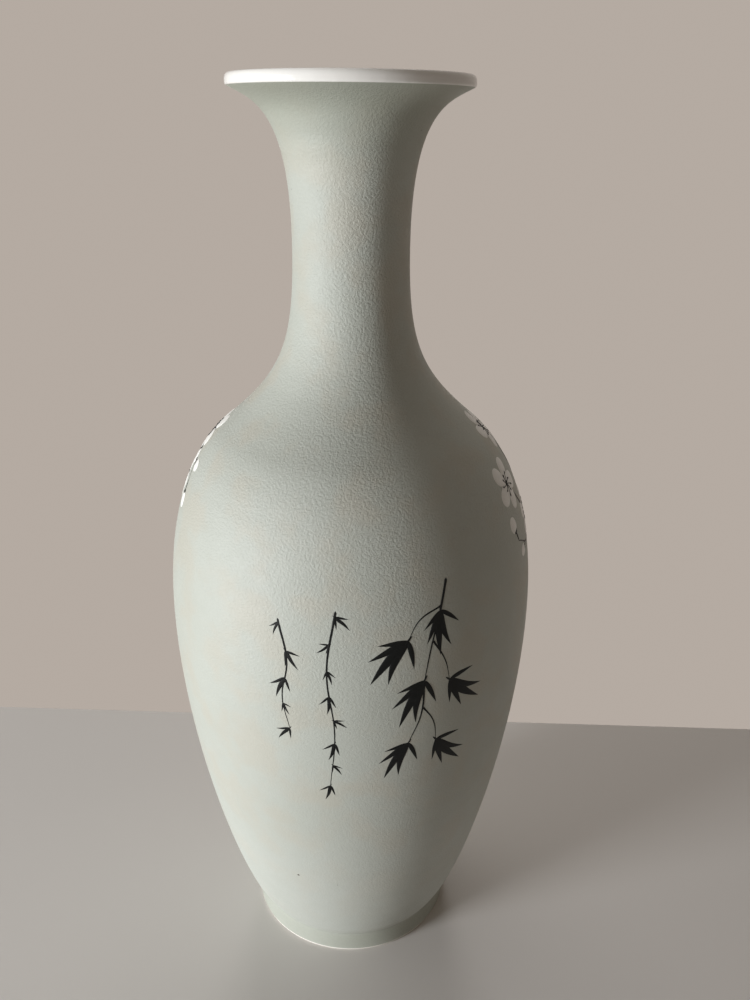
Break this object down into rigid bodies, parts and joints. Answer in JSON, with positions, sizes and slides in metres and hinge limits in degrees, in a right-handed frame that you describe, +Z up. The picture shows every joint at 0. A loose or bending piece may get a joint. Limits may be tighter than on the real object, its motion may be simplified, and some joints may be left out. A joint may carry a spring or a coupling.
{
  "type": "baluster vase",
  "caption": "Tall porcelain baluster vase with a flared mouth, a white lip band and a short foot ring; holds stems or stands on its own.",
  "frame": {"origin": "centre of the ring that the vase stands on, at the height of its resting face", "axes": "+Z up along the axis the vase was turned about; the side with the small painted sprigs faces -Y"},
  "size_m": [0.1896, 0.1896, 0.46],
  "materials": {
    "bare_porcelain": "unglazed white porcelain, smooth and matt",
    "slip": "porcelain slip, fired in the seams",
    "celadon": "pale grey-green celadon, satin with a fine orange-peel texture",
    "clear_glaze": "glossy clear glaze over white porcelain",
    "black_enamel": "black overglaze enamel, brushed on and fired",
    "white_enamel": "raised white overglaze enamel"
  },
  "bodies": {
    "root": {"foot_ring": "bare_porcelain", "lower_body": "bare_porcelain", "upper_body": "bare_porcelain", "neck": "bare_porcelain", "foot_lute": "slip", "belly_lute": "slip", "neck_lute": "slip", "celadon_glaze": "celadon", "lining_glaze": "clear_glaze", "base_glaze": "clear_glaze"}
  },
  "joints": []
}
